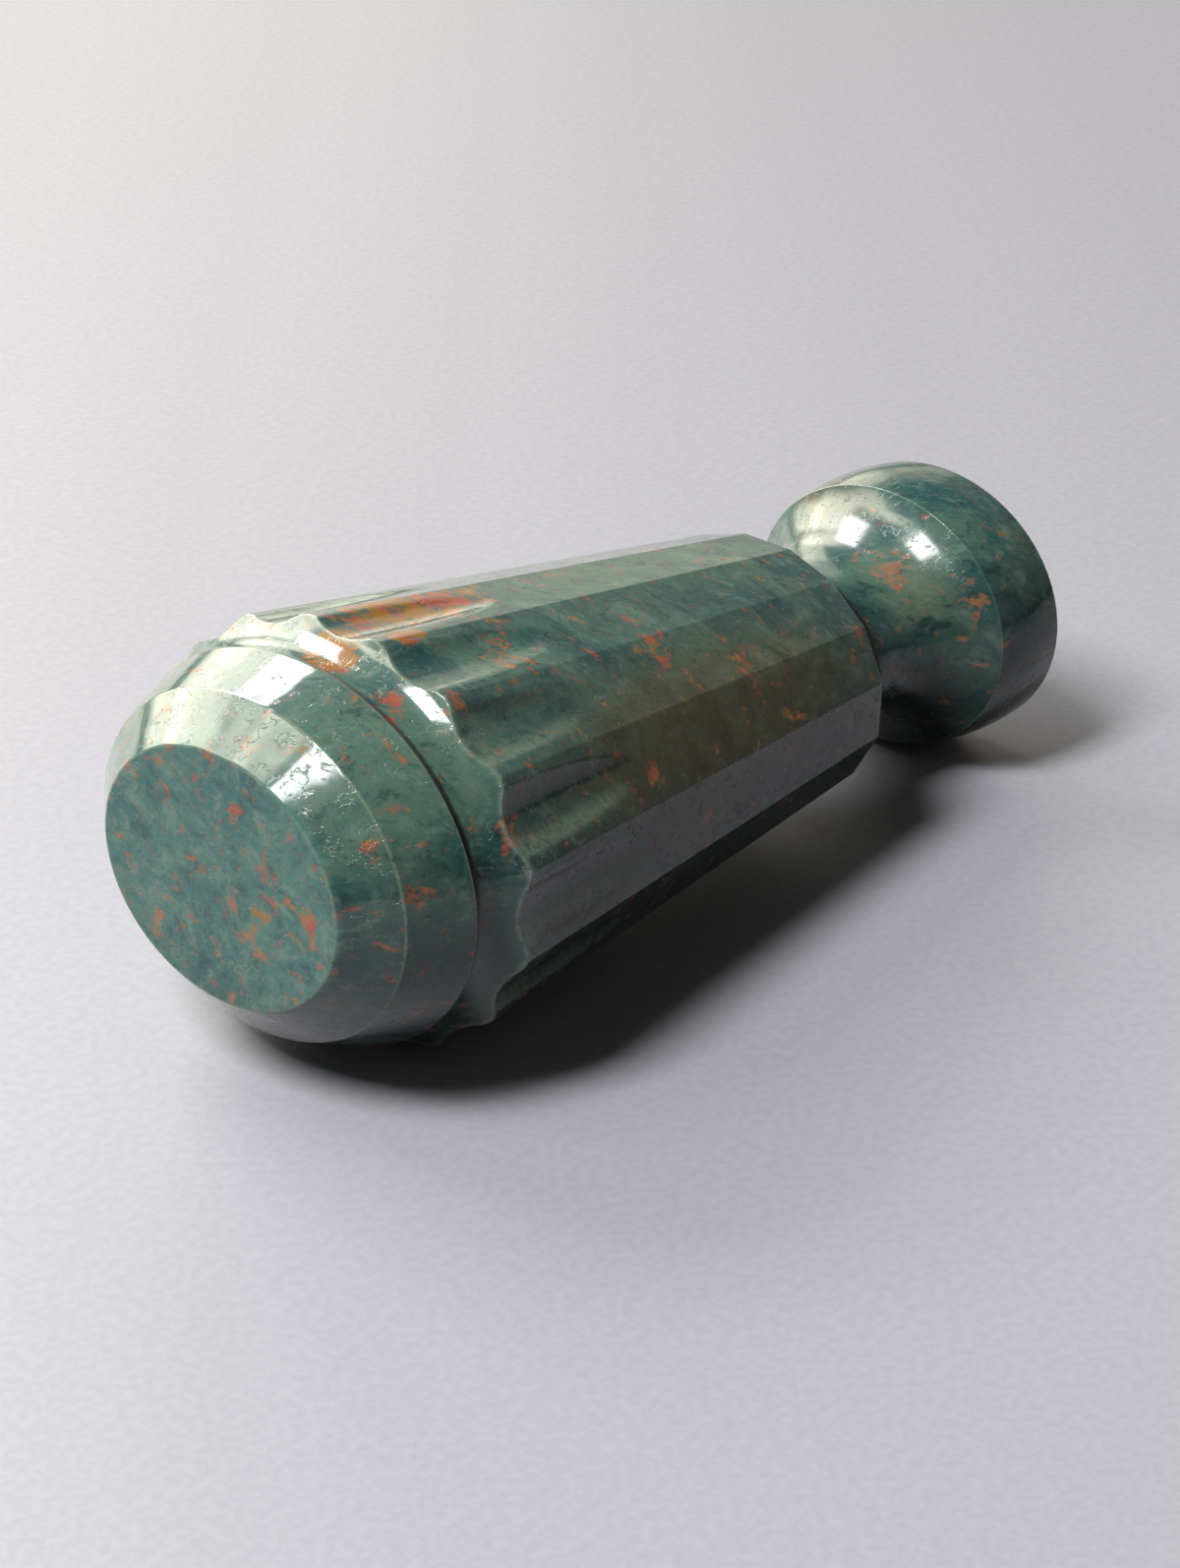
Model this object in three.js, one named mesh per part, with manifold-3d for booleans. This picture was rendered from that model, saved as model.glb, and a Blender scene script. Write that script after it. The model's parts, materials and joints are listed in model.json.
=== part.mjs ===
// Desk seal in polished bloodstone, lying on its side: a bevelled pommel cap, a tapering handle whose facets start
// in thumbnail flutes that scallop its collar, and a waisted foot with the seal face. The stones are oval across
// the axis, and brass dowels and thin beds of setting cement hold them together.
// Millimetres, +Z up. Each piece is made along X, the seal's own axis, from the flat of the pommel at x = 0
// towards the seal face, with Y across its width and Z across its height. The whole seal is laid down last.

import * as THREE from 'three';
import { mergeVertices } from 'three/addons/utils/BufferGeometryUtils.js';
import Module from 'manifold-3d';

// Whole seal, from the flat of the pommel to the seal face
const SEAL_LENGTH = 86.15;

// Pommel cap: a flat oval end, two bevels and a sharp rim
const FLAT_WIDTH = 25.2;
const FLAT_HEIGHT = 20;
const BEVEL_WIDTH = 33;
const BEVEL_HEIGHT = 26.9;
const FIRST_BEVEL_DEPTH = 3.3;
const RIM_WIDTH = 37.7;
const RIM_HEIGHT = 30.5;
const SECOND_BEVEL_DEPTH = 4.9;
const RIM_EDGE = 0.2;

// Handle: a coved collar, flat facets that taper to the tail, and a flute at the head of each facet
const SEAT_INSET = 0.55;
const COLLAR_WIDTH = 41.1;
const COLLAR_HEIGHT = 33.8;
const COLLAR_LENGTH = 3.9;
const FACETS = 16;
const TAIL_HEIGHT = 22.3;
const FLUTE_RADIUS = 6.5;
const FLUTE_LENGTH = 15;
const FLUTE_DEPTH = 0.6;

// Foot: a shoulder against the handle, a narrow waist that sweeps up steeply to a crisp rim, and a band round the
// seal face. The insets are measured from the rim, all round.
const NECK_LENGTH = 15.7;
const SHOULDER_LENGTH = 2.7;
const SHOULDER_INSET = 1.25;
const WAIST_INSET = 5.05;
const FLARE_DEGREES = 66;
const BAND_WIDTH = 27.2;
const BAND_HEIGHT = 23.1;
const BAND_LENGTH = 7.6;
const BAND_BULGE = 0.35;
const FACE_WIDTH = 27.7;
const FACE_HEIGHT = 23.8;
const FACE_EDGE = 0.35;

// Dowels, cement and the clearance that each fitted piece has all round
const DOWEL_DIAMETER = 5;
const DOWEL_CHAMFER = 0.5;
const CAP_GRIP = 4.5;
const HANDLE_GRIP = 9;
const FOOT_GRIP = 9;
const CEMENT_THICKNESS = 0.8;
const CEMENT_WALL = 3;
const CLEARANCE = 0.3;

// Fineness of the curves
const OVAL_STEPS = 96;
const CURVE_STEPS = 6;
const DOWEL_STEPS = 32;
const FLUTE_STEPS = 72;

// Stations along the axis
const BEVEL_X = FIRST_BEVEL_DEPTH;
const RIM_X = BEVEL_X + SECOND_BEVEL_DEPTH;
const CAP_BACK_X = RIM_X + RIM_EDGE;
const FRONT_X = CAP_BACK_X + CLEARANCE;
const COLLAR_X = FRONT_X + COLLAR_LENGTH;
const FACE_RIM_X = SEAL_LENGTH - FACE_EDGE;
const BAND_X = FACE_RIM_X - BAND_LENGTH;
const NECK_X = BAND_X - NECK_LENGTH;
const SHOULDER_X = NECK_X + SHOULDER_LENGTH;
const TAIL_X = NECK_X - CLEARANCE;
const FACET_LENGTH = TAIL_X - COLLAR_X;

const SEAT_WIDTH = RIM_WIDTH - 2 * SEAT_INSET;
const SEAT_HEIGHT = RIM_HEIGHT - 2 * SEAT_INSET;
const TAIL_SCALE = TAIL_HEIGHT / COLLAR_HEIGHT;
const SHOULDER_WIDTH = BAND_WIDTH - 2 * SHOULDER_INSET;
const SHOULDER_HEIGHT = BAND_HEIGHT - 2 * SHOULDER_INSET;

const bloodstone = { color: 0x2f4d49, roughness: 0.12, metalness: 0, flatShading: true };
const brass = { color: 0xb08d57, roughness: 0.35, metalness: 1 };
const cement = { color: 0x5d5348, roughness: 0.85, metalness: 0, flatShading: true };

const wasm = await Module();
wasm.setup();

// A closed mesh as a solid that can be cut, and a cut solid as a mesh again
function solidOf(geometry) {
  geometry.deleteAttribute('normal');
  geometry.deleteAttribute('uv');
  const shared = mergeVertices(geometry);
  const vertProperties = new Float32Array(shared.attributes.position.array);
  const triVerts = new Uint32Array(shared.index.array);
  return new wasm.Manifold(new wasm.Mesh({ numProp: 3, vertProperties, triVerts }));
}

function geometryOf(solid) {
  const { vertProperties, triVerts } = solid.getMesh();
  const geometry = new THREE.BufferGeometry();
  geometry.setAttribute('position', new THREE.BufferAttribute(vertProperties, 3));
  geometry.setIndex(new THREE.BufferAttribute(triVerts, 1));
  geometry.computeVertexNormals();
  return geometry;
}

// An outline drawn across the axis at station x
const across = (x, outline) => outline.map((point) => new THREE.Vector3(x, point.x, point.y));

function oval(x, width, height) {
  return across(x, new THREE.EllipseCurve(0, 0, width / 2, height / 2).getPoints(OVAL_STEPS).slice(0, -1));
}

// A solid lofted through outlines of as many points each, in order along the axis, with flat ends
function loft(outlines) {
  const sides = outlines[0].length;
  const last = outlines.length - 1;
  const points = outlines.flat();
  const headCentre = points.length;
  const tailCentre = headCentre + 1;
  points.push(new THREE.Vector3(outlines[0][0].x, 0, 0));
  points.push(new THREE.Vector3(outlines[last][0].x, 0, 0));
  const triangles = [];
  for (let side = 0; side < sides; side += 1) {
    const next = (side + 1) % sides;
    triangles.push(headCentre, next, side);
    triangles.push(tailCentre, last * sides + side, last * sides + next);
    for (let band = 0; band < last; band += 1) {
      const near = band * sides;
      const far = near + sides;
      triangles.push(near + side, near + next, far + next);
      triangles.push(near + side, far + next, far + side);
    }
  }
  return new THREE.BufferGeometry().setFromPoints(points).setIndex(triangles);
}

// A round bar along the axis from one station to another, with its ends chamfered
function bar(fromX, toX, diameter, chamfer) {
  const radius = diameter / 2;
  const profile = [
    new THREE.Vector2(0, fromX),
    new THREE.Vector2(radius - chamfer, fromX),
    new THREE.Vector2(radius, fromX + chamfer),
    new THREE.Vector2(radius, toX - chamfer),
    new THREE.Vector2(radius - chamfer, toX),
    new THREE.Vector2(0, toX),
  ];
  return new THREE.LatheGeometry(profile, DOWEL_STEPS).rotateZ(-Math.PI / 2);
}

// The hole that a dowel goes into, with clearance round it and at both ends
const dowelHole = (fromX, toX) =>
  solidOf(bar(fromX - CLEARANCE, toX + CLEARANCE, DOWEL_DIAMETER + 2 * CLEARANCE, DOWEL_CHAMFER));

const CAP_DOWEL_SPAN = [CAP_BACK_X - CAP_GRIP, FRONT_X + HANDLE_GRIP];
const FOOT_DOWEL_SPAN = [TAIL_X - HANDLE_GRIP, NECK_X + FOOT_GRIP];

// A bed of cement fills a shallow oval pocket that is sunk into a joint face, and leaves a wall of stone round it
const POCKET_DEPTH = CEMENT_THICKNESS + CLEARANCE;

function pocket(faceX, width, height) {
  const pocketWidth = width - 2 * CEMENT_WALL;
  const pocketHeight = height - 2 * CEMENT_WALL;
  const mouthX = faceX - POCKET_DEPTH;
  const floorX = faceX + POCKET_DEPTH;
  return solidOf(loft([oval(mouthX, pocketWidth, pocketHeight), oval(floorX, pocketWidth, pocketHeight)]));
}

function cementBed(faceX, width, height, dowelSpan) {
  const bedWidth = width - 2 * CEMENT_WALL - 2 * CLEARANCE;
  const bedHeight = height - 2 * CEMENT_WALL - 2 * CLEARANCE;
  const bed = loft([oval(faceX, bedWidth, bedHeight), oval(faceX + CEMENT_THICKNESS, bedWidth, bedHeight)]);
  return geometryOf(solidOf(bed).subtract(dowelHole(...dowelSpan)));
}

// Pommel cap, with a blind dowel hole in its back
function pommelCap() {
  const stone = loft([
    oval(0, FLAT_WIDTH, FLAT_HEIGHT),
    oval(BEVEL_X, BEVEL_WIDTH, BEVEL_HEIGHT),
    oval(RIM_X, RIM_WIDTH, RIM_HEIGHT),
    oval(CAP_BACK_X, RIM_WIDTH - 2 * RIM_EDGE, RIM_HEIGHT - 2 * RIM_EDGE),
  ]);
  return geometryOf(solidOf(stone).subtract(dowelHole(...CAP_DOWEL_SPAN)));
}

// Corners of the facets at the collar: even steps round its oval, with a facet square to the height and another
// square to the width, so that the seal lies on a facet
const corners = new THREE.EllipseCurve(0, 0, COLLAR_WIDTH / 2, COLLAR_HEIGHT / 2)
  .getSpacedPoints(2 * FACETS)
  .filter((point, step) => step % 2 === 1);

// The facets stay flat because the outline keeps its shape as it tapers
function facetOutline(x) {
  const scale = THREE.MathUtils.lerp(1, TAIL_SCALE, (x - COLLAR_X) / FACET_LENGTH);
  return across(x, corners.map((corner) => corner.clone().multiplyScalar(scale)));
}

// The cove of the collar: it leaves the seat at a low angle, turns up steeply, and runs on past the collar's edge at
// the same slope
function collarEnvelope() {
  const start = new THREE.Vector2(0, 0);
  const leaving = new THREE.Vector2(0.33, 0.07);
  const turning = new THREE.Vector2(0.67, 0.13);
  const end = new THREE.Vector2(1, 1);
  const cove = new THREE.CubicBezierCurve(start, leaving, turning, end).getPoints(CURVE_STEPS);
  const past = end.clone().sub(turning).add(end);
  const outlines = [...cove, past].map((step) => oval(
    FRONT_X + step.x * COLLAR_LENGTH,
    THREE.MathUtils.lerp(SEAT_WIDTH, COLLAR_WIDTH, step.y),
    THREE.MathUtils.lerp(SEAT_HEIGHT, COLLAR_HEIGHT, step.y),
  ));
  const pastTail = across(TAIL_X + CLEARANCE, outlines.at(-1).map((point) => new THREE.Vector2(point.y, point.z)));
  return loft([...outlines, pastTail]);
}

// A flute: a round cutter that is sunk to its depth at the collar's edge and runs out of the facet at its length
function fluteCutter(corner, nextCorner) {
  const middle = corner.clone().add(nextCorner).multiplyScalar(0.5);
  const head = new THREE.Vector3(COLLAR_X, middle.x, middle.y);
  const tail = new THREE.Vector3(TAIL_X, middle.x * TAIL_SCALE, middle.y * TAIL_SCALE);
  const along = tail.sub(head).normalize();
  const edge = new THREE.Vector3(0, nextCorner.x - corner.x, nextCorner.y - corner.y).normalize();
  const outwards = edge.cross(along);
  const axis = along.multiplyScalar(FLUTE_LENGTH).addScaledVector(outwards, FLUTE_DEPTH).normalize();
  const centre = head
    .addScaledVector(outwards, FLUTE_RADIUS - FLUTE_DEPTH)
    .addScaledVector(axis, FLUTE_LENGTH - COLLAR_LENGTH);
  const cutterLength = 2 * (FLUTE_LENGTH + COLLAR_LENGTH);
  const turn = new THREE.Quaternion().setFromUnitVectors(new THREE.Vector3(0, 1, 0), axis);
  const cutter = new THREE.CylinderGeometry(FLUTE_RADIUS, FLUTE_RADIUS, cutterLength, FLUTE_STEPS);
  return solidOf(cutter.applyQuaternion(turn).translate(centre.x, centre.y, centre.z));
}

// Handle: the faceted taper inside the collar's cove, less the flutes, the dowel holes and the cement pocket
function handle() {
  const taper = loft([facetOutline(CAP_BACK_X), facetOutline(TAIL_X)]);
  let stone = solidOf(taper).intersect(solidOf(collarEnvelope()));
  corners.forEach((corner, facet) => {
    stone = stone.subtract(fluteCutter(corner, corners[(facet + 1) % FACETS]));
  });
  stone = stone.subtract(pocket(FRONT_X, SEAT_WIDTH, SEAT_HEIGHT));
  stone = stone.subtract(dowelHole(...CAP_DOWEL_SPAN));
  return geometryOf(stone.subtract(dowelHole(...FOOT_DOWEL_SPAN)));
}

// The neck's outline along the axis, as it stands out from the waist: a hollow behind the shoulder, and a longer
// hollow that sweeps up to the rim
function neckOutline() {
  const flare = THREE.MathUtils.degToRad(FLARE_DEGREES);
  const flareRadius = WAIST_INSET / (1 - Math.cos(flare));
  const flareX = BAND_X - flareRadius * Math.sin(flare);
  const shoulderRise = WAIST_INSET - SHOULDER_INSET;
  const hollowLength = Math.min(shoulderRise, flareX - SHOULDER_X);
  const lowest = 1.5 * Math.PI;
  const path = new THREE.Path();
  path.absellipse(SHOULDER_X + hollowLength, shoulderRise, hollowLength, shoulderRise, Math.PI, lowest);
  path.absarc(flareX, flareRadius, flareRadius, lowest, lowest + flare);
  return path.getPoints(CURVE_STEPS);
}

// Foot: the shoulder, the neck, and the band round the seal face, which swells a little
function foot() {
  const neckOutlines = neckOutline().map((step) => {
    const inset = WAIST_INSET - step.y;
    return oval(step.x, BAND_WIDTH - 2 * inset, BAND_HEIGHT - 2 * inset);
  });
  const bandOutlines = Array.from({ length: CURVE_STEPS }, (unused, index) => {
    const step = (index + 1) / CURVE_STEPS;
    const swell = 2 * BAND_BULGE * Math.sin(Math.PI * step);
    return oval(
      BAND_X + step * BAND_LENGTH,
      THREE.MathUtils.lerp(BAND_WIDTH, FACE_WIDTH, step) + swell,
      THREE.MathUtils.lerp(BAND_HEIGHT, FACE_HEIGHT, step) + swell,
    );
  });
  const stone = loft([
    oval(NECK_X, SHOULDER_WIDTH, SHOULDER_HEIGHT),
    ...neckOutlines,
    ...bandOutlines,
    oval(SEAL_LENGTH, FACE_WIDTH - 2 * FACE_EDGE, FACE_HEIGHT - 2 * FACE_EDGE),
  ]);
  const pocketed = solidOf(stone).subtract(pocket(NECK_X, SHOULDER_WIDTH, SHOULDER_HEIGHT));
  return geometryOf(pocketed.subtract(dowelHole(...FOOT_DOWEL_SPAN)));
}

const seal = new THREE.Group();

function place(name, geometry, finish) {
  const mesh = new THREE.Mesh(geometry, new THREE.MeshStandardMaterial(finish));
  mesh.name = name;
  seal.add(mesh);
}

place('pommel_cap', pommelCap(), bloodstone);
place('handle', handle(), bloodstone);
place('foot', foot(), bloodstone);
place('cap_dowel', bar(...CAP_DOWEL_SPAN, DOWEL_DIAMETER, DOWEL_CHAMFER), brass);
place('foot_dowel', bar(...FOOT_DOWEL_SPAN, DOWEL_DIAMETER, DOWEL_CHAMFER), brass);
place('cap_cement', cementBed(FRONT_X, SEAT_WIDTH, SEAT_HEIGHT, CAP_DOWEL_SPAN), cement);
place('foot_cement', cementBed(NECK_X, SHOULDER_WIDTH, SHOULDER_HEIGHT, FOOT_DOWEL_SPAN), cement);

// The seal lies on the collar's edge under its lowest facet and on the rim of the seal face, and the origin is
// under the middle of it on the table
const collarDrop = -Math.min(...corners.map((corner) => corner.y));
seal.rotation.y = Math.atan2(collarDrop - FACE_HEIGHT / 2, FACE_RIM_X - COLLAR_X);
const reach = new THREE.Box3().setFromObject(seal, true);
seal.position.set(-(reach.min.x + reach.max.x) / 2, 0, -reach.min.z);

const part = new THREE.Group();
part.add(seal);

export default part;
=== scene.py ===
import json
import math

import bmesh
import bpy
from mathutils import Matrix, Vector


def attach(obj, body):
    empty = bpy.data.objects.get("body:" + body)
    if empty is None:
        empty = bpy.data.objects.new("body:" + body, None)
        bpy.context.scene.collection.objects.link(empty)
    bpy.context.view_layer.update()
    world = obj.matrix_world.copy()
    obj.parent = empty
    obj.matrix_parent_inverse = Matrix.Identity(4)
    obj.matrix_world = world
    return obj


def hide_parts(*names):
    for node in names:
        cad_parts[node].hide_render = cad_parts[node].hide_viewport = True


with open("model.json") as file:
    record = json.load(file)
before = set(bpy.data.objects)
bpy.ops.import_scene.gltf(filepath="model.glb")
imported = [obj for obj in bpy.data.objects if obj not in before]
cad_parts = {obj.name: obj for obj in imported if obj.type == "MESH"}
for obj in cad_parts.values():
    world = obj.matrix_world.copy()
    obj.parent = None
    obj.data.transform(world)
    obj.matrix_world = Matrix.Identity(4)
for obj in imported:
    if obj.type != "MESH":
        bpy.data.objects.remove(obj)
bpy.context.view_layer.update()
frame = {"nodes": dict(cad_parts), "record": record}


# Handle: the grip is one long bloodstone, ground to sixteen flat facets that taper to the tail, and polished.
# Each facet starts in a shallow thumbnail flute, so that the coved collar ends in a scalloped edge.
# Both ends are drilled for a dowel, and the front has a shallow pocket for the cement.

# Stones are drawn in millimetres along X, from the pommel's flat. The frame says where that flat is: the seal
# lies on its collar and on the rim of the seal face, so that its axis leans down to the foot.
MILLIMETRE = 0.001
pommel_flat = next(mount for mount in frame["record"]["mounts"] if mount["name"] == "pommel_flat")
axis = -Vector(pommel_flat["axis"])
flat_middle = Vector(pommel_flat["pos_m"]) / MILLIMETRE
lean = Matrix.Rotation(math.atan2(-axis.z, axis.x), 4, "Y")
laid = Matrix.Scale(MILLIMETRE, 4) @ Matrix.Translation(flat_middle) @ lean


def skin(name, rings, wear_and_light_shares):
    """A closed skin over rings of points along the seal, laid down where the seal lies. The shares give, for
    each point, how far it is rubbed pale or, on a flute's lower flank, painted light, up to 1, or how far a
    flute's upper flank is painted with shade, down to -1."""
    shape = bmesh.new()
    wear_and_flank_light = shape.verts.layers.float.new("wear_and_flank_light")
    bmesh.ops.create_grid(shape, x_segments=len(rings[0]), y_segments=len(rings) - 1)
    places = [point for ring in rings for point in ring + ring[:1]]
    shares = [share for ring in wear_and_light_shares for share in ring + ring[:1]]
    for vert, place, share in zip(shape.verts, places, shares):
        vert.co = place
        vert[wear_and_flank_light] = share
    bmesh.ops.remove_doubles(shape, verts=shape.verts, dist=1e-5)
    bmesh.ops.holes_fill(shape, edges=[edge for edge in shape.edges if edge.is_boundary])
    bmesh.ops.recalc_face_normals(shape, faces=shape.faces)
    bmesh.ops.transform(shape, matrix=laid, verts=shape.verts)
    for face in shape.faces:
        face.smooth = True
    mesh = bpy.data.meshes.new(name)
    shape.to_mesh(mesh)
    shape.free()
    piece = bpy.data.objects.new(name, mesh)
    bpy.context.scene.collection.objects.link(piece)
    return piece


FRONT, COLLAR, TAIL = 8.7, 12.6, 62.2
SEAT_SIZE, COLLAR_SIZE = (36.6, 29.4), (41.1, 33.8)
TAIL_SCALE = 0.6598
COVE_SLOPE = 0.2
FACETS = 16
FLUTE_DEPTH, FLUTE_RADIUS, FLUTE_LENGTH = 0.6, 6.5, 16
FLUTE_SOFTNESS = 0.02
DOWEL, CLEARANCE = 5, 0.3
HANDLE_GRIP = 9
CEMENT_THICKNESS, CEMENT_WALL = 0.8, 3
ROUND_SIDES = 320


def oval(size, x, sides=ROUND_SIDES):
    """A ring of points round an oval across the seal."""
    turns = [2 * math.pi * side / sides for side in range(sides)]
    return [Vector((x, size[0] / 2 * math.cos(turn), size[1] / 2 * math.sin(turn))) for turn in turns]


def even_corners(size, count):
    """Corners in even steps round an oval, half a step off its width."""
    rim = oval(size, 0, sides=7200)
    rim.append(rim[0])
    lengths = [0]
    for start, end in zip(rim, rim[1:]):
        lengths.append(lengths[-1] + (end - start).length)
    corners = []
    for corner in range(count):
        wanted = lengths[-1] * (corner + 0.5) / count
        corners.append(next(point for point, length in zip(rim, lengths) if length >= wanted))
    return corners


head_corners = even_corners(COLLAR_SIZE, FACETS)
tail_corners = [corner * TAIL_SCALE for corner in head_corners]


def facet_edges(facet, x):
    """The two ridges beside a facet, at one place along the seal."""
    along = (x - COLLAR) / (TAIL - COLLAR)
    return [head_corners[side].lerp(tail_corners[side], along) for side in (facet - 1, facet)]


def flute_cut(chord, across, x):
    """How far the flute's wheel reaches below a facet. It is negative beside the flute."""
    off_middle = (across - 0.5) * chord.length
    round_up = FLUTE_RADIUS - math.sqrt(max(FLUTE_RADIUS ** 2 - off_middle ** 2, 0))
    return FLUTE_DEPTH * (1 - ((x - COLLAR) / FLUTE_LENGTH) ** 2) - round_up


def grip_point(facet, across, x):
    """A point of a ground facet with its flute."""
    low, high = facet_edges(facet, x)
    chord = high - low
    inward = Vector((0, -chord.z, chord.y)).normalized()
    cut = flute_cut(chord, across, x)
    sunk = (cut + math.sqrt(cut ** 2 + FLUTE_SOFTNESS ** 2)) / 2
    return low + chord * across + inward * sunk + Vector((x, 0, 0))


def cove_size(x):
    """Width and height of the coved collar."""
    step = (x - FRONT) / (COLLAR - FRONT)
    swell = COVE_SLOPE * step + (1 - COVE_SLOPE) * step ** 3
    return [seat + (collar - seat) * swell for seat, collar in zip(SEAT_SIZE, COLLAR_SIZE)]


def reach(point, size):
    """How far out a point lies, where 1 is on the oval of that size."""
    return math.hypot(point.y / size[0], point.z / size[1]) * 2


def on_oval(point, size, x):
    """The point moved straight out or in to an oval across the seal."""
    out = reach(point, size)
    return Vector((x, point.y / out, point.z / out))


def scallop(facet, across):
    """Where a line along the grip comes out of the cove: the scalloped edge, found by halving."""
    low, high = FRONT, COLLAR + 1
    for halving in range(40):
        x = (low + high) / 2
        if reach(grip_point(facet, across, x), cove_size(x)) > 1:
            low = x
        else:
            high = x
    return x


# Lines along the grip, each at a share of the way across its facet, and closer together beside the ridges.
HALF_ACROSS = (0, 0.02, 0.05, 0.09, 0.13, 0.17, 0.21, 0.26, 0.32, 0.38, 0.44)
across_shares = [*HALF_ACROSS, 0.5, *[1 - share for share in HALF_ACROSS[:0:-1]]]
lines = [(facet, across) for facet in range(FACETS) for across in across_shares]
edge_x = [scallop(*line) for line in lines]
edge = [grip_point(*line, x) for line, x in zip(lines, edge_x)]


def band(size, x):
    """A ring across the seal that follows the grip's lines."""
    return [on_oval(point, size, x) for point in edge]


def drawn_in(size, inset):
    """A width and height, less an inset all round."""
    return [side - 2 * inset for side in size]


# From the dowel's hole over the cement's pocket and the seat's small edge, and up the cove to the scallops.
HOLE = (DOWEL + 2 * CLEARANCE,) * 2
hole_depth = HANDLE_GRIP + CLEARANCE
pocket = drawn_in(SEAT_SIZE, CEMENT_WALL)
pocket_depth = CEMENT_THICKNESS + CLEARANCE
SEAT_EDGE = ((0.15, 0), (0.05, 0.02))
COVE_START = FRONT + 0.08
COVE_STEPS = (0, 0.1, 0.2, 0.3, 0.4, 0.5, 0.6, 0.7, 0.8, 0.88, 0.94, 0.98)
rings = [band(HOLE, FRONT + hole_depth), band(HOLE, FRONT + pocket_depth)]
rings += [band(pocket, FRONT + pocket_depth), band(pocket, FRONT)]
rings += [band(drawn_in(SEAT_SIZE, inset), FRONT + back) for inset, back in SEAT_EDGE]
for step in COVE_STEPS:
    xs = [COVE_START + (x - COVE_START) * step for x in edge_x]
    rings.append([on_oval(point, cove_size(x), x) for point, x in zip(edge, xs)])
scalloped = len(rings)
rings.append(edge)
wear_and_light_shares = [[0] * len(lines) for ring in rings]

RIM_FADE = 0.3
FLANK_CONTRAST = 4.5


def flute_flank_light_and_shade(facet, across, x):
    """Painted light and shade on a flute: its lower flank, which faces up, is painted paler, up to 1, and
    its upper flank, which faces down, is painted darker as shade, down to -1.
    """
    low, high = facet_edges(facet, x)
    chord = high - low
    inside = min(max(flute_cut(chord, across, x) / FLUTE_DEPTH / RIM_FADE, 0), 1)
    downhill = -chord.z / chord.length
    return inside * min(max((across - 0.5) * FLANK_CONTRAST * downhill, -1), 1)


# Along the facets, in shares of the way to the tail, with the most rings over the flutes. Then the tail's
# small edge, its flat and its hole.
TAIL_EDGE = 0.2
TAIL_INSETS = (0.985, 0.97)
FLUTE_RINGS, FLUTES_START, FLUTES_RUN = 44, 0.02, 0.33
runs = [0.0015, 0.005, 0.01]
runs += [FLUTES_START + FLUTES_RUN * ring / FLUTE_RINGS for ring in range(FLUTE_RINGS + 1)]
runs += [0.4, 0.5, 0.6, 0.7, 0.8, 0.9, 0.97, 0.995, 1]
for run in runs:
    xs = [x + (TAIL - TAIL_EDGE - x) * run for x in edge_x]
    rings.append([grip_point(*line, x) for line, x in zip(lines, xs)])
    wear_and_light_shares.append([flute_flank_light_and_shade(*line, x) for line, x in zip(lines, xs)])
SCALLOP_WEAR = (0.4, 0.9, 1, 0.9, 0.4)
for ring, share in enumerate(SCALLOP_WEAR, scalloped - 2):
    wear_and_light_shares[ring] = [max(share, rubbed) for rubbed in wear_and_light_shares[ring]]
tail_ring = [grip_point(*line, TAIL) for line in lines]
for inset in TAIL_INSETS:
    rings.append([Vector((TAIL, point.y * inset, point.z * inset)) for point in tail_ring])
rings += [band(HOLE, TAIL), band(HOLE, TAIL - hole_depth)]
wear_and_light_shares += [[0] * len(lines)] * (len(rings) - len(wear_and_light_shares))
handle = skin("faceted_handle", rings, wear_and_light_shares)


class Flow:
    """A value that runs through a material's nodes."""

    def __init__(self, socket):
        self.socket = socket

    def node(self, kind, settings, sockets, output=0):
        """A new node with its settings, and with values or links in its sockets."""
        made = self.socket.id_data.nodes.new(kind)
        for name, value in settings.items():
            setattr(made, name, value)
        for name, value in sockets.items():
            if isinstance(value, Flow):
                self.socket.id_data.links.new(value.socket, made.inputs[name])
            else:
                made.inputs[name].default_value = value
        return Flow(made.outputs[output])

    def maths(self, operation, *values):
        return self.node("ShaderNodeMath", {"operation": operation}, dict(enumerate(values)))

    def __add__(self, other):
        return self.maths("ADD", self, other)

    def __sub__(self, other):
        return self.maths("SUBTRACT", self, other)

    def __rsub__(self, other):
        return self.maths("SUBTRACT", other, self)

    def __mul__(self, other):
        return self.maths("MULTIPLY", self, other)

    def __abs__(self):
        return self.maths("ABSOLUTE", self)

    __radd__ = __add__
    __rmul__ = __mul__

    def noise(self, scale, detail=3, roughness=0.5, output=0):
        return self.node("ShaderNodeTexNoise", {}, {"Vector": self, "Scale": scale, "Detail": detail,
                                                    "Roughness": roughness}, output)

    def between(self, start, end):
        """Goes softly from 0 at the first value to 1 at the second."""
        return self.node("ShaderNodeMapRange", {"interpolation_type": "SMOOTHSTEP"},
                         {"Value": self, "From Min": start, "From Max": end})

    def tint(self, under, over):
        """Two colours mixed by this share."""
        return self.node("ShaderNodeMix", {"data_type": "RGBA"}, {0: self, 6: under, 7: over}, 2)

    def part(self, number):
        """One part of a vector: 0, 1 or 2 for X, Y or Z."""
        return self.node("ShaderNodeSeparateXYZ", {}, {0: self}, number)

    def shifted(self, offset):
        return self.node("ShaderNodeVectorMath", {"operation": "ADD"}, {0: self, 1: offset})

    def scaled(self, amount):
        return self.node("ShaderNodeVectorMath", {"operation": "SCALE"}, {0: self, "Scale": amount})


def paint(red, green, blue):
    """A colour from the eight-bit values it shows as."""
    return [((value / 255 + 0.055) / 1.055) ** 2.4 for value in (red, green, blue)] + [1]


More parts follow.
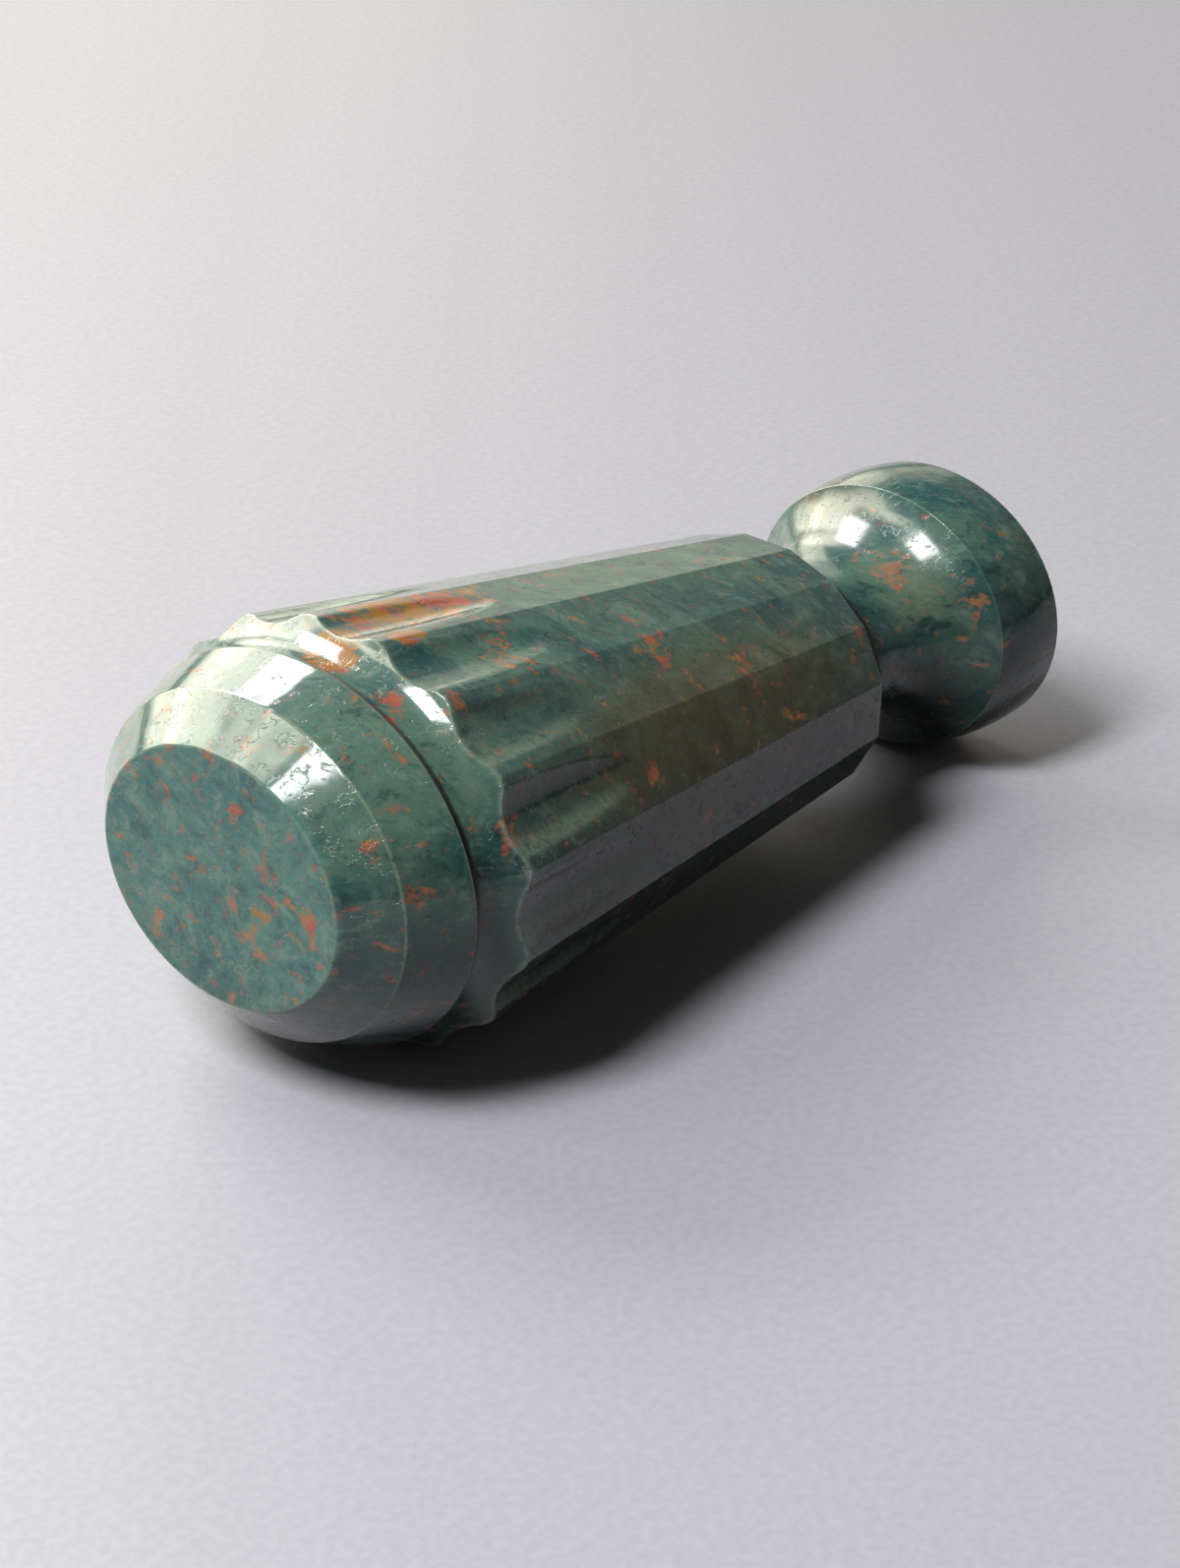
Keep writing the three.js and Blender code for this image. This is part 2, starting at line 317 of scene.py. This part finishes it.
def new_material(name):
    """A material with its shader and its place in millimetres."""
    material = bpy.data.materials.new(name)
    material.use_nodes = True
    shader = material.node_tree.nodes["Principled BSDF"]
    place = material.node_tree.nodes.new("ShaderNodeTexCoord")
    return material, shader, Flow(place.outputs["Object"]).scaled(1 / MILLIMETRE)


def feed(shader, **flows):
    """Links values to a shader's sockets, named with _ for a space."""
    for name, flow in flows.items():
        shader.id_data.links.new(flow.socket, shader.inputs[name.replace("_", " ")])


# The stone is bedded at a slant, and its beds wander.
BEDDING = {"Rotation": (0, 0, math.radians(-47)), "Scale": (1.6, 1, 1)}
DRIFT = 6
bloodstone, stone_shader, place = new_material("bloodstone")
bedded = place.node("ShaderNodeMapping", {"vector_type": "TEXTURE"}, {"Vector": place, **BEDDING})
drift = place.noise(0.16, detail=2, output=1).shifted((-0.5, -0.5, -0.5)).scaled(DRIFT)
wander = bedded.shifted(drift)
along = place.shifted(-flat_middle)
along = along.node("ShaderNodeVectorMath", {"operation": "DOT_PRODUCT"}, {0: along, 1: axis}, 1)
across, height = place.part(1), place.part(2)


def spot(centre, radii):
    """A soft zone of the stone, 1 at its middle and 0 at its edge, with a wandering outline."""
    off = place.shifted(drift.scaled(0.5)).shifted([-value for value in centre])
    off = off.node("ShaderNodeVectorMath", {"operation": "DIVIDE"}, {0: off, 1: radii})
    return off.node("ShaderNodeVectorMath", {"operation": "LENGTH"}, {0: off}, 1).between(1, 0.3)


# The ground: blue-green with mottles and a fine grain, deeper teal on the cap's flat, paler round the collar
# and in the foot's waist, and olive low on the near side of the grip. Along the near side and underneath it
# is painted near black as shade.
TEAL, SEA_GREEN, FLAT_TEAL = paint(55, 104, 104), paint(102, 138, 121), paint(84, 164, 157)
PALE_MOTTLE, DEEP_MOTTLE = paint(128, 164, 148), paint(34, 76, 80)
PALE_GRAIN, DEEP_GRAIN = paint(122, 156, 140), paint(34, 62, 66)
OLIVE, PALE_STREAK = paint(104, 94, 62), paint(132, 150, 120)
NEAR_SIDE_SHADE, UNDERSIDE_SHADE = paint(28, 34, 34), paint(30, 36, 37)
clouds = wander.noise(0.13, detail=4, roughness=0.6)
mottle = wander.noise(0.5, detail=5, roughness=0.68)
grain = bedded.noise(2.2, detail=4, roughness=0.7)
flat_end = along.between(0.5, 0.05)
foot_end = along.between(64, 70)
near_side = (height + across * 0.6 + mottle * 12).between(24, 11) * (1 - flat_end)
underside = (height + mottle * 8).between(17, 8)
pale = spot((-35, -9, 28), (9, 12, 9)) + spot((32, -5, 19), (6, 6, 6))
olive = spot((-2, -15, 21.5), (32, 8, 11)) + spot((34, 5, 21), (6, 7, 5)) * 0.6
streak = spot((4, -12, 22.4), (17, 2.4, 1.6)) + spot((31.3, -7.2, 17.4), (5, 5, 4))
pale_mottle = (mottle + flat_end * 0.03).between(0.53, 0.66) * (0.6 + flat_end * 0.25)
ground = (clouds + pale * 0.24).between(0.36, 0.7).tint(TEAL, SEA_GREEN)
ground = (flat_end * 0.4).tint(ground, FLAT_TEAL)
ground = pale_mottle.tint(ground, PALE_MOTTLE)
ground = (mottle.between(0.47, 0.34) * 0.6).tint(ground, DEEP_MOTTLE)
ground = (grain.between(0.54, 0.7) * 0.5).tint(ground, PALE_GRAIN)
ground = (grain.between(0.46, 0.28) * 0.5).tint(ground, DEEP_GRAIN)
ground = (olive * 0.75).tint(ground, OLIVE)
ground = (streak * mottle.between(0.35, 0.6) * 0.6).tint(ground, PALE_STREAK)
# Painted shade: the grip's near side and its underside are darkened towards near black.
ground = (near_side * 0.5).tint(ground, NEAR_SIDE_SHADE)
ground = (underside * 0.4).tint(ground, UNDERSIDE_SHADE)

# Red specks gather in loose clusters, each with a place on the stone and a reach. Some of them are ochre,
# those on the foot are paler, and one broad ochre and red vein crosses the collar.
RED_CLUSTERS = (
    ((-6.5, -9.8, 26.5), 3.4), ((-43, -8.8, 16.8), 3.2), ((-43, -4.7, 14.2), 3), ((31, -4, 19), 5),
    ((-40, -13.4, 23.5), 2), ((-30, -18, 22.5), 2.6), ((-32.3, -7.7, 30.6), 2.4), ((34.6, -10.3, 17.5), 2.8),
    ((-29, -10, 31), 2.4), ((-42.6, 9.4, 23.5), 1.8), ((-43, -5.6, 20.4), 2.2), ((-43.5, -1.4, 7.7), 1.8),
    ((-38, -17, 19.7), 2), ((-43, -1.5, 23), 2.2), ((-19.6, -8.6, 29.8), 2.4), ((1.6, -12.4, 22.8), 2.6),
    ((-39.7, -15.6, 21), 1.6), ((-13, -16.7, 20.7), 1.8), ((-43.4, 7.3, 11.6), 1.8), ((-6, -16.7, 14.5), 1.8),
    ((-43.3, 3.6, 12.7), 1.6), ((-17.7, -4.6, 30.7), 2.4), ((9, 4, 26), 3), ((-10, 14, 22), 4),
    ((36, 6, 14), 4),
)
RED, ORANGE, OCHRE = paint(208, 100, 80), paint(214, 130, 72), paint(186, 140, 62)
VEIN_RED, VEIN_OCHRE, FOOT_SALMON = paint(206, 62, 30), paint(186, 124, 30), paint(206, 150, 112)
clusters = wander.shifted((9, 31, 17)).noise(0.1, roughness=0.6).between(0.56, 0.72) * 0.6
for centre, radius in RED_CLUSTERS:
    clusters = clusters + spot(centre, (radius, radius, radius))
clusters = (clusters + flat_end * 0.2).between(0, 1)
vein = spot((-22, 1.8, 31.6), (13, 5, 3.5)) + spot((-31.5, -0.5, 32), (4, 3, 3))
vein = (vein + spot((-26.5, -3.4, 32.5), (3, 2.2, 2.2))).between(0, 1)
specks = bedded.shifted(drift.scaled(0.25)).noise(0.75, detail=4, roughness=0.66)
specks = (specks + clusters * 0.1 + vein * 0.22).between(0.57, 0.74)
hue = wander.shifted((13, 2, 21)).noise(0.45) + vein * 0.1
speck_colour = hue.between(0.42, 0.56).tint(RED, ORANGE)
speck_colour = hue.between(0.56, 0.68).tint(speck_colour, OCHRE)
speck_colour = (vein * 0.6).tint(speck_colour, hue.between(0.5, 0.62).tint(VEIN_RED, VEIN_OCHRE))
speck_colour = (foot_end * 0.5).tint(speck_colour, FOOT_SALMON)
stone = (specks * (0.9 - foot_end * 0.25)).tint(ground, speck_colour)

# Hand polish: a faint waviness, small pits that stay dull and dark, and short curled marks, pale inside,
# where the grain has plucked out. Edges are rubbed pale. The flutes carry painted shade on their upper flanks
# and painted light on their lower flanks. The joint behind the cap's rim and the hollow behind the handle's
# tail are painted near black as shade.
PIT_DARK, CURL_PALE, FLUTE_SHADE = paint(30, 44, 44), paint(150, 160, 138), paint(46, 36, 30)
RUBBED_AND_LIT_PALE, RECESS_SHADE = paint(152, 174, 150), paint(20, 21, 20)
pits = bedded.noise(1.5, detail=4, roughness=0.7).between(0.615, 0.71)
curls = abs(bedded.shifted((5, 40, 11)).noise(0.9, roughness=0.55) - 0.5).between(0.03, 0.008)
curls = curls * wander.shifted((3, 8, 60)).noise(0.6).between(0.5, 0.62)
# Painted shade: near black in the joint behind the cap's rim and in the hollow behind the handle's tail.
cap_joint_shade = along.between(8.28, 8.4) * along.between(9.3, 8.95)
neck_hollow_shade = along.between(62.2, 62.4) * along.between(69.5, 65.5)
recess_shade = cap_joint_shade + neck_hollow_shade
wear_and_light = place.node("ShaderNodeAttribute", {"attribute_name": "wear_and_flank_light"}, {}, "Fac")
stone = (pits * 0.5).tint(stone, PIT_DARK)
stone = (curls * along.between(30, 14) * 0.36).tint(stone, CURL_PALE)
# Painted shade darkens the flutes' upper flanks. Painted light makes their lower flanks paler, together with
# the real pale wear of the rubbed edges.
stone = (wear_and_light.between(0, -1) * 0.5).tint(stone, FLUTE_SHADE)
stone = (wear_and_light.between(0, 1) * grain.between(0.2, 0.6) * 0.6).tint(stone, RUBBED_AND_LIT_PALE)
# Painted shade in the cap's joint and the neck's hollow.
stone = (recess_shade * 0.9).tint(stone, RECESS_SHADE)
relief = place.noise(0.35, detail=2) * 0.018 - pits * 0.028 - curls * 0.02
bump = relief.node("ShaderNodeBump", {}, {"Height": relief, "Distance": MILLIMETRE, "Strength": 1.0})

# A soft haze lies over the polish, as on old wax. It is weaker along the near side and on the cap's flat.
haze = (1 - near_side * along.between(12, 18) - flat_end * 0.7) * 0.4
dullness = pits * 0.3 + curls * 0.2 + recess_shade * 0.45 + foot_end * 0.06 + 0.07
feed(stone_shader, Base_Color=stone, Roughness=dullness, Coat_Weight=haze, Normal=bump)
stone_shader.inputs["IOR"].default_value = 1.54
stone_shader.inputs["Coat Roughness"].default_value = 0.36
handle.data.materials.append(bloodstone)
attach(handle, "root")
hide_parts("handle")


# Cap dowel: a short turned brass pin with chamfered ends. It stands in blind holes in the cap and the handle,
# and keeps the two stones in line.
DULL_BRASS, BRIGHT_BRASS = paint(150, 118, 66), paint(190, 158, 98)
brass, brass_shader, place = new_material("turned_brass")
turning = place.noise(1.5)
feed(brass_shader, Base_Color=turning.tint(DULL_BRASS, BRIGHT_BRASS), Roughness=turning * 0.2 + 0.25)
brass_shader.inputs["Metallic"].default_value = 1


def finish_node(name, material):
    """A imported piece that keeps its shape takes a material."""
    for slot in frame["nodes"][name].material_slots:
        slot.material = material


finish_node("cap_dowel", brass)


# Cap cement: a thin bed of setting cement, pale and crumbly. It is spread in the pocket of the handle's front
# and sets hard round the dowel.
DARK_CEMENT, PALE_CEMENT = paint(120, 112, 98), paint(186, 178, 160)
cement, cement_shader, place = new_material("setting_cement")
feed(cement_shader, Base_Color=place.noise(1.8, detail=4).tint(DARK_CEMENT, PALE_CEMENT))
cement_shader.inputs["Roughness"].default_value = 0.9
finish_node("cap_cement", cement)


# Pommel cap: a second bloodstone, ground oval with a flat end and two bevels that meet in crisp edges.
# It is drilled behind for the dowel, and sits on the handle's front with a fine open joint.
FLAT_MIDDLE, FLAT_SIZE, BEVEL_SIZE, RIM_SIZE = (5, 4), (25.2, 20), (33, 26.9), (37.7, 30.5)
FIRST_BEVEL, CAP_RIM, CAP_BACK = 3.3, 8.2, 8.4
CAP_GRIP = 4.5
EDGE_SOFTNESS = 0.06


def rounded_edges(stations):
    """Stations of width, height and place along the seal. Two rings on either side of each corner round it
    off, and the inner ones are rubbed pale."""
    rounded = [(*stations[0], 0)]
    for before, corner, after in zip(stations, stations[1:], stations[2:]):
        for beside, steps in ((before, (3, 1)), (after, (1, 3))):
            length = math.dist((beside[1] / 2, beside[2]), (corner[1] / 2, corner[2]))
            for step in steps:
                near = min(step * EDGE_SOFTNESS / length, 0.45)
                ring = [here + (there - here) * near for there, here in zip(beside, corner)]
                rounded.append((*ring, 1 if step == 1 else 0))
    return rounded + [(*stations[-1], 0)]


cap_stations = rounded_edges([
    (*HOLE, CAP_BACK - CAP_GRIP - CLEARANCE),
    (*HOLE, CAP_BACK),
    (*drawn_in(RIM_SIZE, CAP_BACK - CAP_RIM), CAP_BACK),
    (*RIM_SIZE, CAP_RIM),
    (*BEVEL_SIZE, FIRST_BEVEL),
    (*FLAT_SIZE, 0),
    (*FLAT_MIDDLE, 0),
])
cap_rings = [oval((width, tall), x) for width, tall, x, share in cap_stations]
wear_and_light_shares = [[share] * ROUND_SIDES for width, tall, x, share in cap_stations]
cap = skin("pommel_cap_stone", cap_rings, wear_and_light_shares)
cap.data.materials.append(bloodstone)
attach(cap, "root")
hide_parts("pommel_cap")


# Foot dowel: the same turned brass pin, longer.
# It stands in blind holes in the handle's tail and the foot.
finish_node("foot_dowel", brass)


# Foot cement: the same setting cement,
# spread in the pocket of the foot's neck.
finish_node("foot_cement", cement)


# Foot: the third bloodstone, ground and polished. A straight shoulder meets the handle's tail, a hollow
# waist sweeps up to a crisp rim, and a short, slightly swelling band ends in the flat, plain seal face.
# It is drilled for the dowel, and its neck has a shallow pocket for the cement.
NECK, SHOULDER, RIM, FACE = 62.5, 65.2, 78.2, 86.15
BAND_SIZE, FACE_SIZE = (27.2, 23.1), (27.7, 23.8)
SHOULDER_INSET, WAIST_INSET, POCKET_INSET = 2.9, 5.05, 4.25
FOOT_GRIP = 9
NECK_EDGE, SHOULDER_EDGE, FACE_EDGE = 0.15, 0.02, 0.35
BAND_BULGE = 0.35
FLARE = math.radians(66)
FLARE_RADIUS = WAIST_INSET / (1 - math.cos(FLARE))
FLARE_START = RIM - FLARE_RADIUS * math.sin(FLARE)
hollow = WAIST_INSET - SHOULDER_INSET
neck_size = drawn_in(BAND_SIZE, SHOULDER_INSET + NECK_EDGE)
neck_pocket = drawn_in(BAND_SIZE, POCKET_INSET)
pocket_floor = NECK + CEMENT_THICKNESS + CLEARANCE

# From the dowel's hole over the cement's pocket and the neck's small edge.
foot_rings = [oval(HOLE, NECK + FOOT_GRIP + CLEARANCE), oval(HOLE, pocket_floor)]
foot_rings += [oval(neck_pocket, pocket_floor), oval(neck_pocket, NECK)]
NECK_RING = 0.2
foot_rings += [oval(drawn_in(neck_size, NECK_RING), NECK), oval(neck_size, NECK)]

# Along the shoulder, down a quarter round into the waist, and up the flare to the rim.
SHOULDER_RINGS = (NECK + NECK_EDGE, SHOULDER - 0.3, SHOULDER - 0.06)
QUARTER_STEPS, FLARE_STEPS = 16, 32
RIM_SHARES = [0.985, 0.993, 0.998]
quarter_turns = [math.radians(90 * step / QUARTER_STEPS) for step in range(QUARTER_STEPS + 1)]
flare_turns = [FLARE * share for share in [step / FLARE_STEPS for step in range(FLARE_STEPS)] + RIM_SHARES]
profile = [(x, SHOULDER_INSET) for x in SHOULDER_RINGS]
profile += [(SHOULDER + SHOULDER_EDGE + hollow * (1 - math.cos(turn)),
             SHOULDER_INSET + hollow * math.sin(turn)) for turn in quarter_turns]
profile += [(FLARE_START + FLARE_RADIUS * math.sin(turn),
             WAIST_INSET - FLARE_RADIUS * (1 - math.cos(turn))) for turn in flare_turns]
foot_rings += [oval(drawn_in(BAND_SIZE, inset), x) for x, inset in profile]
rim_at = len(foot_rings)

# Over the swelling band and the face's small edge to the middle of the face.
BAND_SHARES = (0.005, 0.02, 0.06, 0.12, 0.2, 0.3, 0.4, 0.5, 0.6, 0.7, 0.8, 0.88, 0.94, 0.98, 0.995)
for share in BAND_SHARES:
    bulge = 2 * BAND_BULGE * math.sin(math.pi * share)
    size = [near + (far - near) * share + bulge for near, far in zip(BAND_SIZE, FACE_SIZE)]
    foot_rings.append(oval(size, RIM + (FACE - FACE_EDGE - RIM) * share))
EDGE_END = 0.01
FACE_RINGS = ((26.6, 22.7), (20, 17), (5, 4))
foot_rings.append(oval(drawn_in(FACE_SIZE, FACE_EDGE - EDGE_END), FACE - EDGE_END))
foot_rings += [oval(size, FACE) for size in FACE_RINGS]
RIM_WEAR = (0.25, 0.5, 0.5, 0.2)
wear_and_light_shares = [[0] * ROUND_SIDES] * len(foot_rings)
wear_and_light_shares[rim_at - 2:rim_at + 2] = [[share] * ROUND_SIDES for share in RIM_WEAR]
foot = skin("seal_foot_stone", foot_rings, wear_and_light_shares)
foot.data.materials.append(bloodstone)
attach(foot, "root")
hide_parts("foot")


# Table: a plain pale lavender-grey board that catches the seal's shadow.
# It bounces less light than its pale colour would, so that the stone keeps its dark underside.
BOARD_DARK, BOARD_LIGHT, BOARD_BOUNCE = paint(209, 208, 219), paint(217, 216, 226), paint(96, 94, 98)
TABLE_REACH = 2
table_shape = bmesh.new()
bmesh.ops.create_grid(table_shape, x_segments=1, y_segments=1, size=TABLE_REACH)
table_mesh = bpy.data.meshes.new("table")
table_shape.to_mesh(table_mesh)
table_shape.free()
table = bpy.data.objects.new("table", table_mesh)
bpy.context.scene.collection.objects.link(table)
board, board_shader, place = new_material("pale_board")
pale_board = place.noise(1.2, detail=4).between(0.3, 0.7).tint(BOARD_DARK, BOARD_LIGHT)
seen = place.node("ShaderNodeLightPath", {}, {}, "Is Camera Ray")
for ray in ("Is Glossy Ray", "Is Transmission Ray"):
    seen = seen + place.node("ShaderNodeLightPath", {}, {}, ray)
feed(board_shader, Base_Color=seen.tint(BOARD_BOUNCE, pale_board))
board_shader.inputs["Roughness"].default_value = 0.45
table.data.materials.append(board)


# Studio light: soft boxes on the left and behind light the seal and throw its shadow. Cards round the back
# stand for a window, its sill and the walls, and the brightest of them show in the polish alone.
# The room stays dim in front and on the right, where the polish shows the stone's own colour.
WHITE, CREAM, BUFF = (1, 1, 1), (1, 0.95, 0.76), (1, 0.9, 0.72)
DIM_ROOM = (0.012, 0.011, 0.011, 1)
LIT_MIDDLE = Vector((-0.03, 0, 0.02))


def softbox(name, azimuth, elevation, radiance, colour, soft, in_polish=True, in_shade=True):
    """A lamp a metre off that faces the seal, between two azimuths, turned from +Y towards +X, and two
    elevations. It fades over a soft share of its half width, and may be left out of the polish or of the
    shading."""
    turn, rise = math.radians(sum(azimuth) / 2), math.radians(sum(elevation) / 2)
    lamp = bpy.data.lights.new(name, "AREA")
    lamp.shape = "RECTANGLE"
    lamp.size = 2 * math.tan(math.radians(azimuth[1] - azimuth[0]) / 2) * math.cos(rise)
    lamp.size_y = 2 * math.tan(math.radians(elevation[1] - elevation[0]) / 2)
    lamp.energy = radiance * math.pi * lamp.size * lamp.size_y
    lamp.color = colour
    lamp.use_nodes = True
    spread = Flow(lamp.node_tree.nodes.new("ShaderNodeNewGeometry").outputs["Parametric"])
    across_fade, up_fade = [abs(spread.part(side) - 0.5).between(0.5, 0.5 - soft / 2) for side in (0, 1)]
    feed(lamp.node_tree.nodes["Emission"], Strength=across_fade * up_fade)
    level = math.cos(rise)
    towards = Vector((math.sin(turn) * level, math.cos(turn) * level, math.sin(rise)))
    facing = towards.to_track_quat("Z", "Y").to_matrix().to_4x4()
    box = bpy.data.objects.new(name, lamp)
    box.matrix_world = Matrix.Translation(towards + LIT_MIDDLE) @ facing
    box.visible_camera = False
    box.visible_glossy = in_polish
    box.visible_diffuse = in_shade
    bpy.context.scene.collection.objects.link(box)


softbox("softbox_left", (-98, -66), (46.5, 71), radiance=20.5, colour=WHITE, soft=0.12)
softbox("softbox_beside", (-66, -36), (42, 54), radiance=6.5, colour=CREAM, soft=0.4)
softbox("softbox_behind", (-20, 20), (28, 46), radiance=5.5, colour=WHITE, soft=0.1, in_polish=False)
softbox("card_window", (-17, 26), (36, 54), radiance=16, colour=WHITE, soft=0.15, in_shade=False)
softbox("card_sill", (-34, 18), (12, 40), radiance=8.5, colour=CREAM, soft=0.5, in_shade=False)
softbox("card_left", (-50, -24), (18, 52), radiance=7.5, colour=CREAM, soft=0.7, in_shade=False)
softbox("card_low", (-20, 18), (1, 22), radiance=6, colour=CREAM, soft=0.5, in_shade=False)
softbox("card_back", (14, 32), (3, 44), radiance=5, colour=CREAM, soft=0.6, in_shade=False)
softbox("card_far", (20, 50), (2, 26), radiance=2.3, colour=CREAM, soft=0.3)
softbox("card_side", (46, 64), (2, 30), radiance=0.7, colour=CREAM, soft=0.3)
softbox("card_right", (62, 108), (1, 36), radiance=0.25, colour=BUFF, soft=0.3)
softbox("card_front", (108, 154), (1, 36), radiance=0.2, colour=BUFF, soft=0.3)
world = bpy.data.worlds.new("studio")
bpy.context.scene.world = world
world.use_nodes = True
world.node_tree.nodes["Background"].inputs["Color"].default_value = DIM_ROOM


# Camera: a long lens that looks down on the seal from the pommel's end,
# from the place and along the line that fit the photograph's ovals and ridges.
CAMERA_PLACE = Vector((-0.206416, -0.188240, 0.153535))
CAMERA_FORWARD = Vector((0.65277, 0.60220, -0.45961))
lens = bpy.data.cameras.new("camera")
lens.sensor_fit = "HORIZONTAL"
lens.sensor_width = 36
lens.lens = 116.546
lens.clip_start = 0.01
camera = bpy.data.objects.new("camera", lens)
facing = CAMERA_FORWARD.to_track_quat("-Z", "Y").to_matrix().to_4x4()
camera.matrix_world = Matrix.Translation(CAMERA_PLACE) @ facing
bpy.context.scene.collection.objects.link(camera)
bpy.context.scene.camera = camera
bpy.context.scene.view_settings.view_transform = "Standard"
